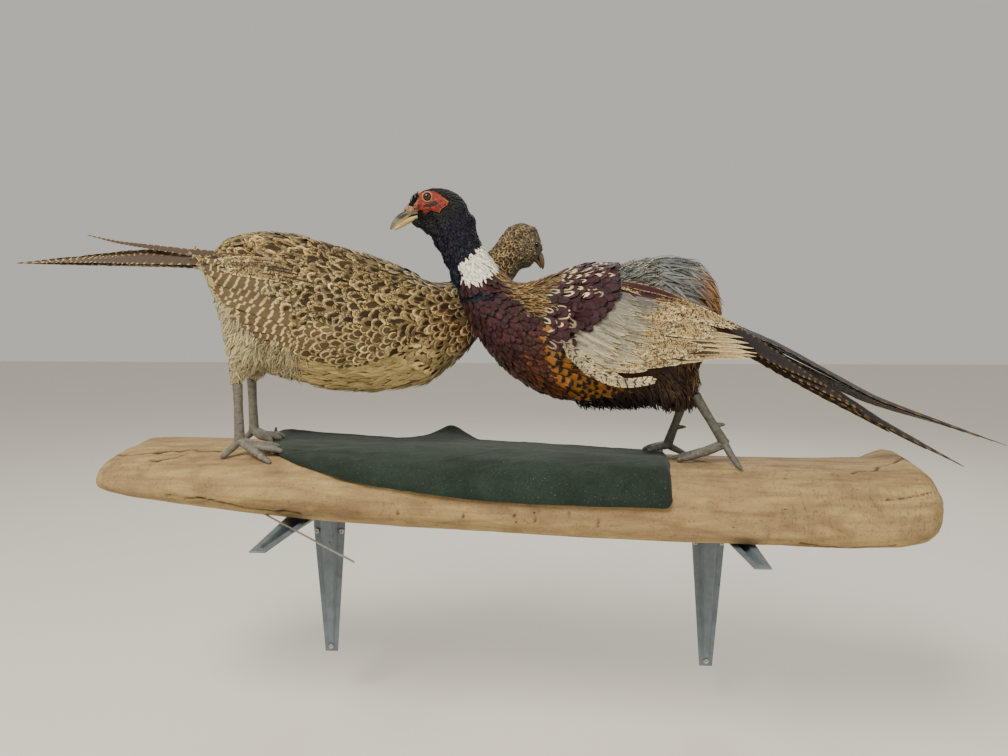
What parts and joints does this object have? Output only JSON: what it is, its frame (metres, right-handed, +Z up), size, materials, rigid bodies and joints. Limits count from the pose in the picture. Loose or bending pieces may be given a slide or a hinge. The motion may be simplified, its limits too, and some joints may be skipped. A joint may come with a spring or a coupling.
{
  "type": "taxidermy pheasant pair on a wall shelf",
  "caption": "Mounted ring-necked pheasant cock with a hen behind it, both standing on a driftwood slab held to the wall by pressed-steel shelf brackets.",
  "frame": {"origin": "on the slab's flat back, where it meets the wall, near the middle of its length", "axes": "+X to the right along the wall, +Y into the wall, +Z up; the cock's bill points to -X"},
  "size_m": [1.1462, 0.2708, 0.6081],
  "materials": {
    "cock_head_feathers": "dark green-black feathers with a bronze-green sheen and a red papillate face",
    "cock_neck_feathers": "short dark blue feathers with a purple-green sheen and a white ring",
    "cock_body_feathers": "scaled copper and golden feathers with dark tips, grey-blue hackles on the rump",
    "cock_wing_feathers": "pale grey and buff coverts with brown mottling, long buff quills",
    "cock_tail_feathers": "long dark brown feathers with black bars and rufous edges",
    "cock_thigh_feathers": "loose dark brown and buff down",
    "hen_feathers": "buff feathers with dark brown centres and pale edges",
    "bill_horn": "pale grey-green horn, satin",
    "eye_glass": "polished dark glass eye with a brown iris",
    "leg_skin": "dry grey scaly leg skin with pale claws",
    "driftwood": "sun-bleached tan driftwood, cracked, no finish",
    "green_cloth": "dark green felted cloth, matt, with a sewn end",
    "bracket_enamel": "blue-grey stoved enamel on pressed steel",
    "screw_zinc": "zinc-plated screw heads",
    "wire_steel": "bright thin steel wire"
  },
  "bodies": {
    "root": {"cock_head": "cock_head_feathers", "cock_neck": "cock_neck_feathers", "cock_trunk": "cock_body_feathers", "cock_bill_upper": "bill_horn", "cock_bill_lower": "bill_horn", "cock_eye_left": "eye_glass", "cock_eye_right": "eye_glass", "cock_tail": "cock_tail_feathers", "cock_wing_left": "cock_wing_feathers", "cock_wing_right": "cock_wing_feathers", "cock_thigh_left": "cock_thigh_feathers", "cock_thigh_right": "cock_thigh_feathers", "cock_foot_left": "leg_skin", "cock_foot_right": "leg_skin", "hen": "hen_feathers", "slab": "driftwood", "cloth": "green_cloth", "bracket_left": "bracket_enamel", "bracket_right": "bracket_enamel", "mount_wire": "wire_steel", "bracket_left_wall_screw_low": "screw_zinc", "bracket_left_wall_screw_a": "screw_zinc", "bracket_left_wall_screw_b": "screw_zinc", "bracket_left_shelf_screw_a": "screw_zinc", "bracket_left_shelf_screw_b": "screw_zinc", "bracket_right_wall_screw_low": "screw_zinc", "bracket_right_wall_screw_a": "screw_zinc", "bracket_right_wall_screw_b": "screw_zinc", "bracket_right_shelf_screw_a": "screw_zinc", "bracket_right_shelf_screw_b": "screw_zinc"}
  },
  "joints": []
}
